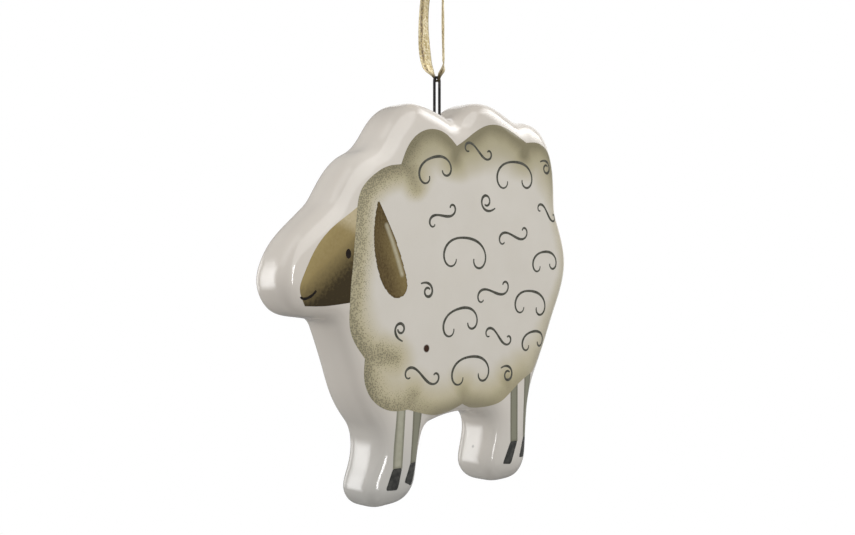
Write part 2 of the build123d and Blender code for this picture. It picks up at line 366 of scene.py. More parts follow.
def metallic_weave(name):
    """Flat metal thread woven with cream yarn: fine glinting cells, brown flecks down one side, a
    dashed dark thread at the other selvedge, and painted shade where the wire pinches it into
    folds."""
    material, shader, place = new_material(name, "ShaderNodeUVMap", "UV")
    side_mm, along_mm = part(place, 0), part(place, 1)
    cells = place.node(
        "ShaderNodeTexVoronoi", out=1, voronoi_dimensions="2D",
        sockets={"Vector": place, "Scale": 3.6, "Randomness": 0.85},
    )
    glint = cells.node("ShaderNodeSeparateColor", sockets={0: cells})
    cloth = place.node(
        "ShaderNodeTexNoise", noise_dimensions="2D",
        sockets={"Vector": place, "Scale": 1.3, "Detail": 3.0, "Roughness": 0.6},
    )
    ribs = place.node(
        "ShaderNodeTexWave", out=1, bands_direction="Y",
        sockets={"Vector": place, "Scale": 1.6, "Distortion": 1.2, "Detail": 1.0},
    )
    yarn = glint.node(
        "ShaderNodeValToRGB",
        stops=[(0.0, dye(120, 98, 58)), (0.25, dye(198, 178, 128)),
               (0.6, dye(224, 210, 170)), (1.0, dye(246, 238, 214))],
        sockets={0: glint * 0.7 + cloth * 0.35},
    )
    side = side_mm.step(0.35, 0.7) * (1 - side_mm.step(1.1, 1.5))
    fleck = side * (cloth + glint * 0.5).step(0.55, 0.8)
    edge = side_mm.step(2.72, 2.82) * ribs.step(0.35, 0.5)
    speckled = (fleck * 0.85).blend(yarn, dye(92, 66, 34))
    # Painted shade: the weave darkens within a few millimetres of the eye, where the wire gathers
    # it into folds.
    from_pinch = (along_mm - float(eye_turn) * 1000).math("ABSOLUTE", 0.0)
    painted_fold_shade = (1 - from_pinch.step(0.9, 2.6)) * (0.75 + 0.4 * cloth)
    weave_with_painted_shade = painted_fold_shade.math("MINIMUM", 0.9).blend(speckled, dye(62, 50, 26))
    coloured = (edge * 0.9).blend(weave_with_painted_shade, dye(58, 46, 30))
    feed(shader, {
        "Base Color": coloured,
        "Roughness": 0.30 + 0.35 * cloth,
        "Metallic": 0.25 + 0.5 * glint,
        "Normal": bumps(ribs * 0.5 + glint, 0.6, 0.00006),
    })
    return material


gold_weave = metallic_weave("gold_weave")
ribbon_mesh = band_mesh("gold_ribbon", front_face, back_face, across, along, ends=True)
ribbon = add_piece("gold_ribbon", ribbon_mesh, gold_weave, "ribbon", "ribbon_loop")


# Knot: the ribbon's two ends tied round each other above the loop. It is a tight lump with two
# crossing bands on it, and the cut ends stand up from it and lean apart.
knot_half = np.array([0.0022, 0.0015, 0.0024])
knot_middle = np.array([0.0, 0.0, 0.0012])
lump_share, wrap_width, tail_width = 0.86, 0.0011, 0.0027
tail_foot, tail_height = 0.0026, 0.0080
round_turn = np.linspace(0, 2 * np.pi, 73)[:, None]
up_turn = np.linspace(-np.pi / 2, np.pi / 2, 37)[None, :]


def soft_power(value, power):
    """The value raised to a power with its sign kept, which squares off a round form."""
    return np.sign(value) * np.abs(value) ** power


lump = grid_of(
    soft_power(np.cos(up_turn), 0.8) * soft_power(np.cos(round_turn), 0.85),
    soft_power(np.cos(up_turn), 0.8) * soft_power(np.sin(round_turn), 0.85),
    soft_power(np.sin(up_turn), 0.8),
)
creases = 1 - 0.05 * np.abs(np.sin(3 * round_turn + 2.2 * up_turn)) * np.cos(up_turn)
lump = lump * creases[..., None] * (knot_half * lump_share) + knot_middle
lump_mesh = grid_mesh("knot_lump", lump, uv=grid_of(round_turn * 1.2, up_turn * 1.6))
add_piece("knot_lump", lump_mesh, gold_weave, "knot", "ribbon_knot")


def knot_band(name, line, outward, band_width, round_trip=False):
    """A strip of ribbon carried along a line, broad across it and facing outward. A round
    trip's last point is its first one again."""
    ways = np.gradient(line, axis=0)
    if round_trip:
        ways[[0, -1]] = line[1] - line[-2]
    ways = unit(ways)
    broad_way = unit(np.cross(ways, outward))
    faced = np.cross(broad_way, ways)
    spread = np.linspace(-0.5, 0.5, 13)
    strip = line[:, None] + broad_way[:, None] * (band_width * spread)[None, :, None]
    thick = faced[:, None] * (ribbon_thickness / 2)
    curl = faced[:, None] * (0.00010 * np.cos(spread * np.pi * 3))[None, :, None]
    top, under = strip + thick + curl, strip - thick + curl
    mesh = band_mesh(name, top, under, spread, run_along(line), ends=not round_trip)
    add_piece(name, mesh, gold_weave, "knot")


wrap = np.linspace(0, 2 * np.pi, 73)
for number, lean in enumerate((0.55, -0.6)):
    way = unit(np.stack([np.cos(wrap), np.sin(wrap), lean * np.cos(wrap)], axis=1))
    reach = 0.97 + 0.03 * np.sin(2 * wrap + number)
    wrapped = way * knot_half * reach[:, None] + knot_middle
    wrapped[-1] = wrapped[0]
    knot_band(f"knot_wrap_{number}", wrapped, way, wrap_width, round_trip=True)
tail_share = np.linspace(0, 1, 40)
for number, side in enumerate((-1, 1)):
    tail = grid_of(
        side * 0.0004 * np.sin(tail_share * 3.0),
        side * (0.0002 + 0.0016 * tail_share**1.4),
        tail_foot + tail_height * tail_share,
    )
    facing = np.tile([0.25 * side, -1.0, 0.0], (len(tail), 1))
    knot_band(f"knot_tail_{number}", tail, facing, tail_width)


# Wire: blackened steel wire bent into a hairpin, its legs set in the notch of the casting. The
# drawn surface is dull, with paler worn patches.
def noise(place, scale, detail):
    """Clouds from 0 to 1 over a place: the larger the scale, the finer they are."""
    looks = {"Vector": place, "Scale": scale, "Detail": detail}
    return place.node("ShaderNodeTexNoise", sockets=looks)


def metal_material(name, colour):
    """Drawn and blackened wire: fine streaks along it and a patchy satin shine."""
    material, shader, place = new_material(name)
    streaks = place.node("ShaderNodeMapping", sockets={"Vector": place, "Scale": (9000, 9000, 500)})
    patches = noise(place, 900.0, 3.0)
    shader.inputs["Metallic"].default_value = 0.7
    feed(shader, {
        "Base Color": patches.step(0.52, 0.72).blend(colour, dye(74, 70, 64)),
        "Roughness": 0.32 + 0.3 * patches,
        "Normal": bumps(noise(streaks, 1.0, 2.0), 0.4, 0.00002),
    })
    return material


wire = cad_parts["wire_hanger"]
wire.data.materials.clear()
wire.data.materials.append(metal_material("black_wire", dye(34, 33, 34)))


# Ceramic body: one cast slab of white clay in the outline of a sheep. Its edges and the valleys
# between its lobes are worn soft before firing, and a thick clear glaze covers it all.
body_length, body_height, body_thickness = 0.0770, 0.0783, 0.0130
sole_z = -0.10528
edge_reach, wall_power, face_power = 0.0048, 4.0, 2.0
rim_width, valley_reach, face_crown, wave_depth = 0.0019, 0.0017, 0.0009, 0.00005
outline_spacing, face_spacing, face_gap = 0.00025, 0.0005, 0.0003
sheep_outline_shares = [
    [(0.010, 0.942), (-0.039, 0.960), (-0.091, 0.973), (-0.134, 0.975), (-0.169, 0.961),
     (-0.210, 0.923), (-0.236, 0.887), (-0.265, 0.856)],
    [(-0.265, 0.856), (-0.306, 0.836), (-0.342, 0.804), (-0.366, 0.772), (-0.395, 0.727)],
    [(-0.395, 0.727), (-0.449, 0.683), (-0.499, 0.638), (-0.532, 0.588), (-0.543, 0.545),
     (-0.530, 0.499), (-0.501, 0.470), (-0.448, 0.458), (-0.392, 0.450)],
    [(-0.392, 0.450), (-0.371, 0.400), (-0.344, 0.330), (-0.325, 0.279), (-0.294, 0.225),
     (-0.262, 0.187)],
    [(-0.262, 0.187), (-0.256, 0.145), (-0.268, 0.092), (-0.282, 0.038), (-0.260, 0.005),
     (-0.213, 0.000), (-0.164, 0.008), (-0.132, 0.036), (-0.119, 0.087), (-0.109, 0.145),
     (-0.096, 0.184)],
    [(-0.096, 0.184), (-0.045, 0.197), (0.019, 0.206), (0.078, 0.204), (0.135, 0.187)],
    [(0.135, 0.187), (0.140, 0.149), (0.127, 0.092), (0.126, 0.049), (0.155, 0.018),
     (0.203, 0.012), (0.252, 0.020), (0.282, 0.052), (0.291, 0.113), (0.294, 0.177),
     (0.301, 0.228), (0.319, 0.280)],
    [(0.319, 0.280), (0.362, 0.356), (0.405, 0.445), (0.447, 0.534), (0.457, 0.588),
     (0.447, 0.644), (0.412, 0.726)],
    [(0.412, 0.726), (0.410, 0.796), (0.403, 0.859), (0.379, 0.916), (0.340, 0.952),
     (0.294, 0.962), (0.255, 0.958)],
    [(0.255, 0.958), (0.207, 0.977), (0.160, 0.994), (0.112, 0.998), (0.064, 0.984),
     (0.029, 0.958), (0.010, 0.942)],
]


def spot(shares):
    """One place on the sheep or several, in metres, from the shares of its length and height."""
    return np.array(shares) * (body_length, body_height) + (0, sole_z)


def lobe_line(shares, spacing):
    """Points along one lobe: the natural cubic spline through its shares, with the lengths of
    its chords as parameter. Its last point is left out, as the next lobe starts there."""
    knots = spot(shares)
    chords = np.linalg.norm(np.diff(knots, axis=0), axis=1)
    marks = run_along(knots)
    inner = np.arange(1, len(knots) - 1)
    system = np.eye(len(knots))
    system[inner, inner - 1] = chords[:-1]
    system[inner, inner] = 2 * (chords[:-1] + chords[1:])
    system[inner, inner + 1] = chords[1:]
    slopes = np.diff(knots, axis=0) / chords[:, None]
    bends = np.zeros_like(knots)
    bends[1:-1] = 6 * np.diff(slopes, axis=0)
    bends = np.linalg.solve(system, bends)
    count = max(2, int(round(marks[-1] / spacing)))
    places = np.linspace(0, marks[-1], count + 1)[:-1]
    span = np.clip(np.searchsorted(marks, places, "right") - 1, 0, len(knots) - 2)
    after = ((places - marks[span]) / chords[span])[:, None]
    before = 1 - after
    bulge = (before**3 - before) * bends[span] + (after**3 - after) * bends[span + 1]
    return before * knots[span] + after * knots[span + 1] + bulge * (chords[span, None] ** 2) / 6


def pulled_curve(first, corner, last, count):
    """Points on the quadratic curve from first to last whose middle control is the corner."""
    share = np.linspace(0, 1, count)[:, None]
    return (1 - share) ** 2 * first + 2 * share * (1 - share) * corner + share**2 * last


def outline(lobes, spacing, soften=0.0):
    """A closed line round all the lobes. A valley is rounded within soften of the place where
    one lobe meets the next."""
    lines = [lobe_line(lobe, spacing) for lobe in lobes]
    closed = np.concatenate(lines)
    reach = int(round(soften / spacing))
    if not reach:
        return closed
    rounded = closed.copy()
    for start in np.cumsum([0] + [len(line) for line in lines[:-1]]):
        spots = np.arange(start - reach, start + reach + 1) % len(closed)
        ends = closed[spots[0]], closed[start], closed[spots[-1]]
        rounded[spots] = pulled_curve(*ends, 2 * reach + 1)
    return rounded


def inward_normals(line):
    """Unit vectors square to a closed anticlockwise line and pointing into it."""
    ways = unit(np.roll(line, -1, axis=0) - np.roll(line, 1, axis=0))
    return np.stack([-ways[:, 1], ways[:, 0]], axis=1)


def nearest(points, line, closed=True):
    """The distance from each point to the nearest stretch of a line, and the unit vector from
    the line to the point."""
    far = np.roll(line, -1, axis=0) if closed else line[1:]
    near = line if closed else line[:-1]
    run = far - near
    size = np.maximum(np.sum(run * run, axis=1), 1e-18)
    shortest, ways = np.empty(len(points)), np.empty((len(points), 2))
    for first in range(0, len(points), 1000):
        gap = points[first:first + 1000, None] - near[None]
        share = np.clip(np.sum(gap * run, axis=2) / size, 0, 1)
        gap = gap - share[..., None] * run
        square = np.sum(gap * gap, axis=2)
        place = np.argmin(square, axis=1)
        own = np.arange(len(place))
        shortest[first:first + 1000] = np.sqrt(square[own, place])
        ways[first:first + 1000] = gap[own, place]
    return shortest, ways / np.maximum(shortest, 1e-9)[:, None]


sheep_line = outline(sheep_outline_shares, outline_spacing, soften=valley_reach)
middle_z = sole_z + body_height / 2
crown_reach = max(body_length, body_height) / 2


def half_thickness(spots, depth_in):
    """Half the slab's thickness over points in x and z. It is half the body's, less the crown,
    a parabola from the middle out, and less slow waves up to 0.17 mm deep, times the rounding.
    In the rounding the depth in from the outline and the thickness lie on a squared-off
    ellipse with a high power on the wall's side, which keeps the wall flat, and a low one on
    the face's."""
    crown = face_crown * np.sum((spots - (0, middle_z)) ** 2, axis=-1) / crown_reach**2
    share = np.clip(depth_in / edge_reach, 0, 1)
    edge = (1 - (1 - share) ** face_power) ** (1 / wall_power)
    waves = np.sin(spots[..., 0] / 0.0042 + 1.0) * np.sin(spots[..., 1] / 0.0037)
    waves = waves + 0.7 * np.sin((spots[..., 0] + 1.4 * spots[..., 1]) / 0.0058)
    return (body_thickness / 2 - crown - wave_depth * (1.7 - waves)) * edge


def front_glaze(spots, raised=0.0):
    """Points on the front glaze over places in x and z, raised towards the viewer, and its
    unit normals. They come from differences over a few hundredths of a millimetre."""
    depth_in, way = nearest(spots, sheep_line)
    points = np.stack([spots[:, 0], -half_thickness(spots, depth_in) - raised, spots[:, 1]], axis=1)
    slopes, nudge = [], 0.00004
    for push in np.eye(2) * nudge:
        shift = way @ push
        ahead = half_thickness(spots + push, np.abs(depth_in + shift))
        behind = half_thickness(spots - push, np.abs(depth_in - shift))
        slopes.append((behind - ahead) / (2 * nudge))
    return points, unit(np.stack([slopes[0], -np.ones(len(spots)), slopes[1]], axis=1))


def lattice(line, spacing, margin):
    """Points of a staggered lattice that lie inside a closed line, a margin in from it."""
    low, high = line.min(axis=0), line.max(axis=0)
    rows = np.arange(low[1], high[1], spacing * math.sqrt(3) / 2)
    columns = np.arange(low[0], high[0], spacing)
    spots = np.stack(np.meshgrid(columns, rows), axis=-1)
    spots[1::2, :, 0] += spacing / 2
    spots = spots.reshape(-1, 2)
    far = np.roll(line, -1, axis=0)
    inside = np.zeros(len(spots), dtype=bool)
    for first in range(0, len(spots), 4000):
        x, z = spots[first:first + 4000, 0:1], spots[first:first + 4000, 1:2]
        crosses = (line[None, :, 1] > z) != (far[None, :, 1] > z)
        drop = np.where(far[:, 1] == line[:, 1], 1e-12, far[:, 1] - line[:, 1])
        cut = line[None, :, 0] + (z - line[None, :, 1]) * (far[:, 0] - line[:, 0]) / drop
        inside[first:first + 4000] = np.sum(crosses & (x < cut), axis=1) % 2 == 1
    spots = spots[inside]
    return spots[nearest(spots, line)[0] > margin]


def fill_face(line, inner):
    """The line's points and the inner ones, and the triangles between them that fill the
    closed line, facing the front."""
    spots = np.concatenate([line, inner])
    ring = np.arange(len(line))
    edges = np.stack([ring, np.roll(ring, -1)], axis=1)
    made = delaunay_2d_cdt(spots.tolist(), edges.tolist(), [], 1, 1e-9)
    source = np.array([found[0] if found else -1 for found in made[3]])
    triangles = source[np.array(made[2])]
    triangles = triangles[np.all(triangles >= 0, axis=1)]
    first, second, third = (spots[triangles[:, corner]] for corner in range(3))
    side, other = second - first, third - first
    turned_over = side[:, 0] * other[:, 1] - side[:, 1] * other[:, 0] < 0
    triangles[turned_over] = triangles[turned_over][:, ::-1]
    return spots, triangles


# The rim is a profile carried round the outline, from one face over the wall to the other.
# Its steps are even in the thickness. Staggered points fill both faces inside it.
rim_ways = inward_normals(sheep_line)
rim_share = 1 - rim_width / edge_reach
rim_depths = np.linspace(0, (1 - rim_share**face_power) ** (1 / wall_power), 24)
rim_insets = edge_reach * (1 - (1 - rim_depths**wall_power) ** (1 / face_power))
insets = np.concatenate([rim_insets[:0:-1], rim_insets])
ring_spots = sheep_line[:, None] + rim_ways[:, None] * insets[None, :, None]
rim_half = np.stack(
    [half_thickness(ring_spots[:, column], inset) for column, inset in enumerate(insets)], axis=1
)
sides = np.sign(np.arange(len(insets)) - len(rim_insets) + 1)
rim_points = np.stack([ring_spots[..., 0], -rim_half * sides, ring_spots[..., 1]], axis=-1)
ring_count, rings = rim_points.shape[:2]
flow_u = np.roll(rim_points, -1, axis=0) - np.roll(rim_points, 1, axis=0)
rim_normals = unit(np.cross(flow_u, np.gradient(rim_points, axis=1)))
front_ring = ring_spots[:, -1]
inner_spots = lattice(front_ring, face_spacing, face_gap)
cap_faces = fill_face(front_ring, inner_spots)[1]
front_inner, inner_normals = front_glaze(inner_spots)
mirror = np.array([1, -1, 1])
body_points = np.concatenate([rim_points.reshape(-1, 3), front_inner, front_inner * mirror])
body_normals = np.concatenate([rim_normals.reshape(-1, 3), inner_normals, inner_normals * mirror])
index = np.arange(ring_count * rings).reshape(ring_count, rings)
inner_front = ring_count * rings + np.arange(len(inner_spots))
front_faces = np.concatenate([index[:, -1], inner_front])[cap_faces]
back_faces = np.concatenate([index[:, 0], inner_front + len(inner_spots)])[cap_faces[:, ::-1]]
wall_faces = cells_of(np.concatenate([index, index[:1]], axis=0))


def smooth_mesh(name, points, faces, normals):
    """A smooth mesh with a normal of its own at each point."""
    mesh = bpy.data.meshes.new(name)
    mesh.from_pydata(points.tolist(), [], faces)
    mesh.polygons.foreach_set("use_smooth", [True] * len(mesh.polygons))
    mesh.normals_split_custom_set_from_vertices(normals.tolist())
    return mesh


body_faces = wall_faces.tolist() + front_faces.tolist() + back_faces.tolist()
body_mesh = smooth_mesh("glazed_sheep", body_points, body_faces, body_normals)


def near_spot(place, shares, depth, radius, soft):
    """1 within a radius of the spot at these shares and this y, and 0 outside it. The edge is
    soft over that share of the radius."""
    x, z = spot(shares)
    ends = {0: place, 1: (x, depth, z)}
    gap = place.node("ShaderNodeVectorMath", out=1, operation="DISTANCE", sockets=ends)
    return 1 - gap.step(radius * (1 - soft), radius * (1 + soft))


def glazed_material(name, paint):
    """A fired colour under clear glaze. paint(place) gives the colour from the place on the
    piece. The glaze has a faint slow ripple and small changes of shine."""
    material, shader, place = new_material(name)
    pool = noise(place, 260.0, 2.0)
    ripple_mm = 0.024
    shader.inputs["IOR"].default_value = 1.52
    feed(shader, {
        "Base Color": paint(place),
        "Roughness": 0.07 + 0.08 * pool,
        "Normal": bumps(pool * ripple_mm, 1.0, 0.001),
    })
    return material


def white_glaze(place):
    """Warm white clay under glaze, with painted shade that greys it down the legs, most of all
    the front ones, and along the crests; a pinhole in the rear leg's wall and a rust speck on its
    other side."""
    clay = noise(place, 70.0, 3.0).blend(dye(214, 206, 196), dye(224, 218, 209))
    across, height = part(place, 0), part(place, 2)
    # Painted shade: the glaze greys towards the soles, most on the front legs, and along the top
    # edges.
    low = (1 - height.step(sole_z, sole_z + 0.026)) * (0.9 - across.step(-0.010, 0.010) * 0.4)
    painted_crest_shade = height.step(sole_z + 0.070, sole_z + 0.0765) * 0.6
    clay_with_painted_shade = painted_crest_shade.blend(low.blend(clay, dye(192, 190, 185)), dye(190, 182, 172))
    pinhole = near_spot(place, (0.1285, 0.105), -0.0003, 0.00032, 0.6)
    pierced = (pinhole * 0.75).blend(clay_with_painted_shade, dye(120, 116, 108))
    speck = near_spot(place, (0.30, 0.24), 0.0021, 0.00022, 0.6)
    return (speck * 0.6).blend(pierced, dye(128, 96, 62))


body_glaze = glazed_material("white_glaze", white_glaze)
add_piece("glazed_sheep", body_mesh, body_glaze, "ornament", "ceramic_body")


# Cement: the rough white paste that holds the wire's legs in the pocket of the notch. It
# stands up round them as a low uneven bead.
cement_radius, cement_rise, seat_z, bead_sunk = 0.0018, 0.00075, -0.03096, 0.0006
angle = np.linspace(0, 2 * np.pi, 49)[:, None]
outward_share = np.linspace(0, 1, 14)[None, :]
lumps = 1 + 0.07 * np.sin(3 * angle + 0.7) + 0.05 * np.sin(5 * angle + 2.0)
ripple = 0.10 * outward_share * np.sin(4 * angle + 6 * outward_share)
mound = np.sqrt(np.clip(1 - outward_share**2.4, 0, 1)) * (1 + ripple)
mound_xy = cement_radius * outward_share * lumps
bead = grid_of(
    mound_xy * np.cos(angle),
    mound_xy * np.sin(angle),
    seat_z - bead_sunk + (cement_rise + bead_sunk) * mound * 0.93,
)
bead_foot = np.broadcast_to([0.0, 0.0, seat_z - bead_sunk], (len(bead), 1, 3))
bead = np.concatenate([bead, bead_foot], axis=1)


def cement_material(name):
    """Set paste: off-white, matt and grainy."""
    material, shader, place = new_material(name)
    grain = noise(place, 3500.0, 4.0)
    feed(shader, {
        "Base Color": grain.blend(dye(186, 178, 166), dye(236, 230, 220)),
        "Roughness": 0.35 + 0.4 * grain,
        "Normal": bumps(grain, 0.7, 0.00010),
    })
    return material


set_paste = cement_material("set_paste")
bead_mesh = grid_mesh("cement_bead", bead)
add_piece("cement_bead", bead_mesh, set_paste, "ornament", "hanger_cement")


# Fleece colour: cream transfer over the body of the sheep, sprayed olive grey round the edge of
# every lobe. The spray is a fine stipple, and it runs in a short way where two lobes meet.
print_height, print_lip, print_sunk, print_feather = 0.00004, 0.000012, 0.00006, 0.00025
print_spacing = 0.0004
fleece_outline_shares = [
    [(-0.004, 0.876), (-0.045, 0.905), (-0.096, 0.911), (-0.135, 0.898), (-0.171, 0.866),
     (-0.196, 0.819)],
    [(-0.196, 0.819), (-0.235, 0.813), (-0.281, 0.791), (-0.325, 0.747), (-0.338, 0.694),
     (-0.348, 0.600), (-0.359, 0.500), (-0.348, 0.415), (-0.312, 0.361)],
    [(-0.312, 0.361), (-0.309, 0.310), (-0.278, 0.256), (-0.230, 0.233), (-0.176, 0.232)],
    [(-0.176, 0.232), (-0.120, 0.217), (-0.060, 0.209), (-0.020, 0.213), (0.021, 0.230)],
    [(0.021, 0.230), (0.060, 0.217), (0.110, 0.215), (0.160, 0.226), (0.198, 0.248)],
    [(0.198, 0.248), (0.246, 0.278), (0.290, 0.296)],
    [(0.290, 0.296), (0.344, 0.372), (0.386, 0.455), (0.428, 0.541), (0.437, 0.588),
     (0.428, 0.638), (0.393, 0.722)],
    [(0.393, 0.722), (0.391, 0.790), (0.382, 0.846), (0.360, 0.888), (0.315, 0.906),
     (0.266, 0.903)],
    [(0.266, 0.903), (0.201, 0.931), (0.128, 0.940), (0.072, 0.920), (0.025, 0.892),
     (-0.004, 0.876)],
]
lobe_meetings = [
    [(-0.196, 0.819), (-0.165, 0.800), (-0.148, 0.765)],
    [(-0.312, 0.361), (-0.265, 0.368), (-0.215, 0.358)],
    [(-0.176, 0.232), (-0.158, 0.262)],
    [(0.021, 0.230), (0.012, 0.262)],
    [(0.198, 0.248), (0.182, 0.278)],
    [(-0.004, 0.876), (-0.012, 0.842)],
    [(0.266, 0.903), (0.256, 0.868)],
]


def film(spots, raised):
    """The points over the top of a film on the glaze and over its underside, which is sunk in
    the glaze, and their normals."""
    top, normals = front_glaze(spots, raised)
    under = top + np.array([0, 1, 0]) * (raised + print_sunk)[:, None]
    return np.concatenate([top, under]), np.concatenate([normals, -normals])


def print_mesh(name, line, tones, spacing=print_spacing, height=print_height, lip=print_lip):
    """A colour's closed film: triangles that fill its outline, thinner at its edge. Its points
    are closer together over the rounded edge of the slab. tones(spots, edge) gives its
    attributes from the place and the distance in from its edge."""
    coarse = lattice(line, spacing, 0.55 * spacing)
    fine = lattice(line, spacing / 2, 0.3 * spacing)
    flat, flat_too = (nearest(some, sheep_line)[0] > 0.6 * edge_reach for some in (coarse, fine))
    spots, triangles = fill_face(line, np.concatenate([coarse[flat], fine[~flat_too]]))
    edge = nearest(spots, line)[0]
    raised = lip + (height - lip) * rise(edge, 0, print_feather)
    ring = np.arange(len(line))
    following = np.roll(ring, -1)
    sides = np.stack([following, ring, ring + len(spots), following + len(spots)], axis=1)
    faces = triangles.tolist() + (triangles[:, ::-1] + len(spots)).tolist() + sides.tolist()
    points, normals = film(spots, raised)
    mesh = smooth_mesh(name, points, faces, normals)
    for label, values in tones(spots, edge).items():
        layer = mesh.attributes.new(label, "FLOAT", "POINT")
        layer.data.foreach_set("value", np.tile(values, 2).astype(np.float32))
    return mesh


def shares_of(spots):
    """The shares of the sheep's length and height at which these places lie."""
    return spots[:, 0] / body_length, (spots[:, 1] - sole_z) / body_height


def fleece_tones(spots, edge):
    """spray is the distance in mm from the edge or from a meeting of two lobes, whose reach
    fades along it. low, left and high rise towards the legs, the head and the crests."""
    across, up = shares_of(spots)
    spray = edge * 1000
    for meeting in lobe_meetings:
        crease = spot(meeting)
        gone = np.linalg.norm(spots - crease[0], axis=1) * 1000
        spray = np.minimum(spray, nearest(spots, crease, closed=False)[0] * 1000 + 0.22 * gone)
    low, left, high = rise(-up, -0.55, -0.25), rise(-across, 0.02, 0.30), rise(up, 0.72, 0.88)
    return {"spray": spray, "low": low, "left": left, "high": high}


def read(place, *labels):
    """The values that the piece's mesh carries under these names."""
    return [place.node("ShaderNodeAttribute", out=2, attribute_name=label) for label in labels]


def fleece_paint(place):
    """Cream in the middle, then khaki and olive grey towards the edge, held back on the rump
    side. Dots of the darker colour thicken towards the edge, most of all on the head side."""
    spray, low, left, high = read(place, "spray", "low", "left", "high")
    cloud = noise(place, 150.0, 3.0)
    wander = spray + (cloud - 0.5) * 2.4
    wash = 1 - wander.step(1.5, low * 5.6 + high * 11.0 + left * 2.4 + 4.0)
    rim_tone = 1 - wander.step(0.0, 3.8)
    cream = cloud.blend(dye(212, 206, 195), dye(219, 214, 205))
    khaki = (high * 0.7).blend(dye(192, 182, 149), dye(163, 155, 124))
    held_back = 1 - part(place, 0).step(0.014, 0.030) * (1 - high) * 0.5
    washed = (wash * held_back * 0.95).blend(cream, khaki)
    rim_strength = (0.24 + 0.72 * high + 0.22 * low) * held_back
    rimmed = (rim_tone * rim_strength).math("MINIMUM", 0.8).blend(washed, dye(126, 119, 94))
    dotting = {"Vector": place, "Scale": 3000.0, "Randomness": 0.8}
    dots = place.node("ShaderNodeTexVoronoi", sockets=dotting)
    thick = (1 - wander.step(0.3, 6.5)) * (0.25 + 0.75 * left)
    stipple = (thick * 0.52 - dots).step(-0.14, 0.10)
    sprayed = (stipple * 0.54).blend(rimmed, dye(98, 94, 76))
    fleck = near_spot(place, (-0.117, 0.376), -0.00637, 0.00074, 0.2)
    return fleck.blend(sprayed, dye(58, 36, 22))


fleece_line = outline(fleece_outline_shares, 0.00022)
fleece_mesh = print_mesh(
    "fleece_colour", fleece_line, fleece_tones, spacing=0.00045, lip=0.00003
)
fleece_glaze = glazed_material("fleece_glaze", fleece_paint)
add_piece(
    "fleece_colour", fleece_mesh, fleece_glaze, "ornament", "fleece_print"
)


# Wool curls: generic brushed scrolls over the fleece, drawn with a fine grey brush before the
# last firing. Each is a stroke that curls in at its ends, thick in the middle and thin at them.
curl_breadth = 0.00052
curl_places = [
    (-0.085, 0.815, 20.0, 0.30, "C"), (0.075, 0.868, 13.0, -0.15, "S"),
    (0.215, 0.815, 25.0, 0.05, "C"), (0.345, 0.845, 9.0, 0.40, "E"),
    (-0.060, 0.700, 13.0, 0.50, "S"), (0.105, 0.735, 11.0, -2.60, "E"),
    (0.350, 0.720, 11.0, -0.35, "S"), (0.020, 0.610, 27.0, -0.05, "C"),
    (0.205, 0.655, 15.0, 0.25, "S"), (0.335, 0.590, 18.0, 0.10, "C"),
    (-0.115, 0.520, 9.0, 0.30, "E"), (0.125, 0.510, 16.0, 0.30, "S"),
    (0.275, 0.480, 22.0, -0.10, "C"), (0.000, 0.440, 22.0, 0.20, "C"),
    (-0.205, 0.420, 9.0, 2.80, "E"), (0.145, 0.395, 13.0, -0.25, "S"),
    (0.285, 0.380, 16.0, 0.15, "C"), (-0.130, 0.310, 15.0, -0.15, "S"),
    (0.040, 0.315, 24.0, 0.05, "C"), (0.180, 0.300, 10.0, 0.40, "E"),
]


def scroll(length, kind, count=90):
    """A stroke that winds in, at both ends the same way for a C and opposite ways for an S,
    and at one end for an E. Its heading is a power of the share of the way along, odd for a
    C and even for an S, and the line is the sum of steps along the heading."""
    share = np.linspace(0 if kind == "E" else -1, 1, count)
    winding = np.abs(share)
    if kind == "C":
        heading = -np.sign(share) * (0.9 * winding + 4.0 * winding**2.4)
    elif kind == "S":
        heading = 0.8 * winding**2 + 4.0 * winding**2.6 - 0.6
    else:
        heading = -(1.0 * winding + 6.5 * winding**1.8)
    step = np.stack([np.cos(heading), np.sin(heading)], axis=1) * length / count
    line = np.cumsum(step, axis=0)
    return line - 0.5 * (line.max(axis=0) + line.min(axis=0))


def stroke(line, breadth, count=5):
    """The grid of points over a brush stroke: the line, spread sideways by its breadth, which
    is full in the middle and tapers at both ends."""
    share = np.linspace(-1, 1, len(line))
    ways = unit(np.gradient(line, axis=0))
    sideways = np.stack([-ways[:, 1], ways[:, 0]], axis=1)
    full = breadth / 2 * (0.55 + 0.45 * np.sqrt(1 - share**2)) * (1 + 0.12 * np.sin(share * 9))
    spread = np.linspace(-1, 1, count)
    return line[:, None] + sideways[:, None] * (full[:, None] * spread[None, :])[..., None]


def stroke_mesh(name, strokes, height):
    """One mesh of several brush strokes laid on the glaze. Each is raised along its middle,
    and an underside sunk in the glaze closes it."""
    points, faces, normals, start = [], [], [], 0
    for grid in strokes:
        rows, columns = grid.shape[:2]
        ridge = 1 - np.linspace(-1, 1, columns) ** 2
        own_points, own_normals = film(
            grid.reshape(-1, 2), np.tile(height + 0.00002 * ridge, rows)
        )
        own = np.arange(rows * columns).reshape(rows, columns) + start
        tube = np.concatenate([own, own[:, ::-1] + rows * columns, own[:, :1]], axis=1)
        over = end_cells(columns)
        faces += [cells_of(tube), tube[0][over], tube[-1][over[:, ::-1]]]
        points.append(own_points)
        normals.append(own_normals)
        start += 2 * rows * columns
    all_faces = np.concatenate(faces).tolist()
    return smooth_mesh(name, np.concatenate(points), all_faces, np.concatenate(normals))


def brush_paint(dark, light):
    """A function that paints a brush colour a little uneven, as a fine brush leaves it."""
    return lambda place: noise(place, 1100.0, 3.0).step(0.35, 0.7).blend(dark, light)


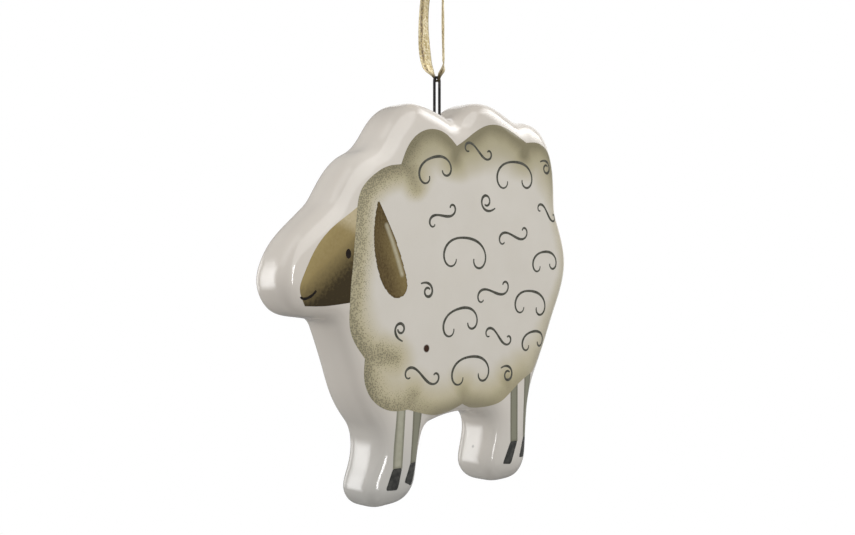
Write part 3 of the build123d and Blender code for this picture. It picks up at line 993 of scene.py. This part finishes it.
curl_strokes = []
for curl_x, curl_z, curl_length, lean, kind in curl_places:
    cosine, sine = math.cos(lean), math.sin(lean)
    line = scroll(curl_length / 1000, kind) @ np.array([[cosine, sine], [-sine, cosine]])
    curl_strokes.append(stroke(line + spot((curl_x, curl_z)), curl_breadth))
curl_mesh = stroke_mesh("wool_curls", curl_strokes, print_height + 0.000006)
curl_glaze = glazed_material("curl_glaze", brush_paint(dye(72, 72, 64), dye(94, 93, 84)))
add_piece("wool_curls", curl_mesh, curl_glaze, "ornament")


# Head colour: khaki tan ceramic colour fired on over the face in front of the fleece, darker
# under the cheek, with a paler tuft at the top. The mouth is one short brush line.
head_outline_shares = [
    [(-0.336, 0.712), (-0.355, 0.699), (-0.405, 0.666), (-0.453, 0.620), (-0.490, 0.557),
     (-0.500, 0.527), (-0.482, 0.486)],
    [(-0.482, 0.486), (-0.437, 0.485), (-0.358, 0.492)],
    [(-0.358, 0.492), (-0.348, 0.600), (-0.336, 0.712)],
]


def head_tones(spots, edge):
    """cheek rises down and back to the fleece, tuft rises at the top and a painted reflection runs
    down the front edge of the face, all from 0 to 1."""
    across, up = shares_of(spots)
    cheek = rise(-(up - 0.60) + 0.75 * (across + 0.42), -0.02, 0.10)
    tuft = rise(up + 0.4 * across, 0.500, 0.545)
    # Painted reflection: a paler band within about 2.6 mm of the head's front edge.
    painted_edge_reflection = 1 - rise(edge * 1000, 0.3, 2.6)
    front = rise(-across, 0.38, 0.44)
    return {"cheek": cheek, "tuft": tuft, "painted_edge_reflection": painted_edge_reflection * front}


def head_paint(place):
    """Khaki tan, blended to dark brown by cheek, to cream by tuft and lighter by a painted
    reflection along the front edge, with a soft stipple where the colours meet."""
    cheek, tuft, painted_edge_reflection = read(place, "cheek", "tuft", "painted_edge_reflection")
    grain = noise(place, 1700.0, 2.0)
    tan = grain.blend(dye(143, 125, 80), dye(164, 146, 100))
    # The painted reflection lightens the tan along the front edge.
    tan_with_painted_reflection = (painted_edge_reflection * 0.35).blend(tan, dye(170, 152, 104))
    tufted = (tuft * (0.5 + grain)).math("MINIMUM", 1.0).blend(tan_with_painted_reflection, dye(194, 180, 146))
    brown = (cheek + (grain - 0.5) * 0.5) * cheek.step(0.0, 0.25)
    return brown.math("MINIMUM", 0.95).math("MAXIMUM", 0.0).blend(tufted, dye(46, 36, 16))


head_line = outline(head_outline_shares, 0.0003)
head_mesh = print_mesh("head_colour", head_line, head_tones, height=0.00003)
head_glaze = glazed_material("head_glaze", head_paint)
add_piece("head_colour", head_mesh, head_glaze, "ornament", "head_print")

mouth_shares = [
    (-0.497, 0.507), (-0.490, 0.503), (-0.478, 0.505), (-0.467, 0.511), (-0.456, 0.522),
]
mouth_stroke = stroke(lobe_line(mouth_shares, 0.00012), 0.00050)
mouth_mesh = stroke_mesh("mouth_line", [mouth_stroke], print_height)
dark_glaze = glazed_material("dark_glaze", brush_paint(dye(22, 14, 8), dye(38, 26, 14)))
add_piece("mouth_line", mouth_mesh, dark_glaze, "ornament")


# Eye: a small upright oval of dark brown ceramic colour. It is touched in by hand with a brush
# on the head colour, and fired on.
eye_half = (0.00068, 0.00098)
eye_round = np.linspace(0, 2 * np.pi, 56, endpoint=False)
eye_line = grid_of(np.cos(eye_round), np.sin(eye_round)) * eye_half + spot((-0.364, 0.604))


def no_tones(spots, edge):
    """A film of one colour has no attributes."""
    return {}


eye_mesh = print_mesh("eye_colour", eye_line, no_tones, spacing=0.0002, height=0.00006)
add_piece("eye_colour", eye_mesh, dark_glaze, "ornament", "eye_print")


# Ear: a long hanging ear in stippled brown ceramic colour, darkest along its front, with a pale
# streak down its back edge. It is laid over the fleece colour and fired on.
ear_outline_shares = [
    [(-0.272, 0.740), (-0.288, 0.660), (-0.276, 0.562), (-0.252, 0.519), (-0.214, 0.498),
     (-0.184, 0.512), (-0.186, 0.561), (-0.236, 0.677), (-0.272, 0.740)],
]
streak_shares = [(-0.247, 0.672), (-0.232, 0.640), (-0.212, 0.590), (-0.199, 0.556)]


def ear_tones(spots, edge):
    """front is 1 along the ear's front edge and 0 at its back. streak and rim are distances in
    mm from the pale streak's line and from the ear's edge."""
    across, up = shares_of(spots)
    front = 1 - rise(across + 0.42 * (up - 0.6), -0.275, -0.205) * (1 - rise(up, 0.60, 0.70))
    streak = nearest(spots, spot(streak_shares), closed=False)[0]
    return {"front": front, "streak": streak * 1000, "rim": edge * 1000}


def ear_paint(place):
    """Brown, darker by front and at the rim, with a fine stipple, and the pale streak."""
    front, streak, ear_rim = read(place, "front", "streak", "rim")
    grain = noise(place, 2600.0, 2.0)
    dark = (front * 0.8 + (grain - 0.5) * 0.9).math("MAXIMUM", 0.0).math("MINIMUM", 1.0)
    brown = dark.blend(dye(132, 115, 74), dye(78, 62, 34))
    rimmed = ((1 - ear_rim.step(0.1, 0.6)) * 0.5).blend(brown, dye(74, 60, 34))
    shine = (1 - streak.step(0.0, 0.75)) * (0.45 + 0.5 * grain)
    return shine.blend(rimmed, dye(200, 194, 170))


ear_line = outline(ear_outline_shares, 0.0003)
ear_mesh = print_mesh("ear_colour", ear_line, ear_tones, height=0.00008)
ear_glaze = glazed_material("ear_glaze", ear_paint)
add_piece("ear_colour", ear_mesh, ear_glaze, "ornament", "ear_print")


# Leg lines: two olive grey stripes down each pair of legs, from under the fleece to the hooves.
# They are thin ceramic colour, brushed on the white and fired.
leg_line_width = 0.0286 * body_length
leg_line_shares = [
    [(-0.197, 0.250), (-0.205, 0.092)],
    [(-0.143, 0.240), (-0.149, 0.100)],
    [(0.210, 0.290), (0.215, 0.116)],
    [(0.266, 0.310), (0.270, 0.122)],
]


def leg_line_outline(ends):
    """The stripe's outline: down its head side and up its rump side."""
    side = np.array([leg_line_width / 2, 0])
    high, low = spot(ends)
    corners = np.array([high - side, low - side, low + side, high + side])
    share = np.linspace(0, 1, 30, endpoint=False)[:, None]
    after = np.roll(corners, -1, axis=0)
    return np.concatenate([first + (last - first) * share for first, last in zip(corners, after)])


def leg_tones(spots, edge):
    """side is the distance in mm from the stripe's edge; dense is 0 on the first stripe."""
    return {"side": edge * 1000, "dense": rise(shares_of(spots)[0], -0.18, -0.17)}


def leg_paint(place):
    """Olive grey, darker on all but the first stripe and along both edges, where the brush
    lifted."""
    side, dense = read(place, "side", "dense")
    pale = noise(place, 900.0, 3.0).blend(dye(158, 156, 138), dye(184, 182, 164))
    wash = (dense * 0.8).blend(pale, dye(127, 126, 109))
    return ((1 - side.step(0.1, 0.7)) * 0.6).blend(wash, dye(104, 102, 86))


def joined(name, meshes):
    """One mesh of several, with their custom normals and attributes kept."""
    made = [bpy.data.objects.new(name, mesh) for mesh in meshes]
    for single in made:
        bpy.context.collection.objects.link(single)
    with bpy.context.temp_override(
        active_object=made[0], selected_editable_objects=made, selected_objects=made
    ):
        bpy.ops.object.join()
    mesh = made[0].data
    bpy.data.objects.remove(made[0])
    mesh.name = name
    return mesh


leg_outlines = [leg_line_outline(ends) for ends in leg_line_shares]
leg_parts = [print_mesh("leg_line", line, leg_tones, height=0.00002) for line in leg_outlines]
leg_mesh = joined("leg_lines", leg_parts)
leg_glaze = glazed_material("leg_glaze", leg_paint)
add_piece("leg_lines", leg_mesh, leg_glaze, "ornament", "leg_prints")


# Hooves: one slanting stroke of near black under each leg line, its lower end towards the head.
# They are thicker ceramic colour, touched on with a full brush and fired.
hoof_outline_shares = [
    [(-0.219, 0.094), (-0.191, 0.094), (-0.203, 0.041), (-0.240, 0.044)],
    [(-0.163, 0.102), (-0.135, 0.102), (-0.152, 0.045), (-0.182, 0.057)],
    [(0.201, 0.118), (0.229, 0.118), (0.205, 0.058), (0.172, 0.062)],
    [(0.256, 0.124), (0.276, 0.124), (0.264, 0.070), (0.238, 0.072)],
]


def hoof_outline(shares, soften=0.16):
    """The hoof's four corners, each cut by a short rounding, taken anticlockwise."""
    corners = spot(shares)[::-1]
    before, after = np.roll(corners, 1, axis=0), np.roll(corners, -1, axis=0)
    sides = []
    for corner, last, following in zip(corners, before, after):
        start, stop = corner + (last - corner) * soften, corner + (following - corner) * soften
        sides.append(pulled_curve(start, corner, stop, 12))
        run = np.linspace(0, 1, 10)[1:-1, None]
        sides.append(stop + (following + (corner - following) * soften - stop) * run)
    return np.concatenate(sides)


hoof_outlines = [hoof_outline(shares) for shares in hoof_outline_shares]
hoof_parts = [print_mesh("hoof", line, no_tones, height=0.00006) for line in hoof_outlines]
hoof_glaze = glazed_material("hoof_glaze", brush_paint(dye(52, 52, 50), dye(72, 72, 68)))
hoof_mesh = joined("hooves", hoof_parts)
add_piece("hooves", hoof_mesh, hoof_glaze, "ornament", "hoof_prints")
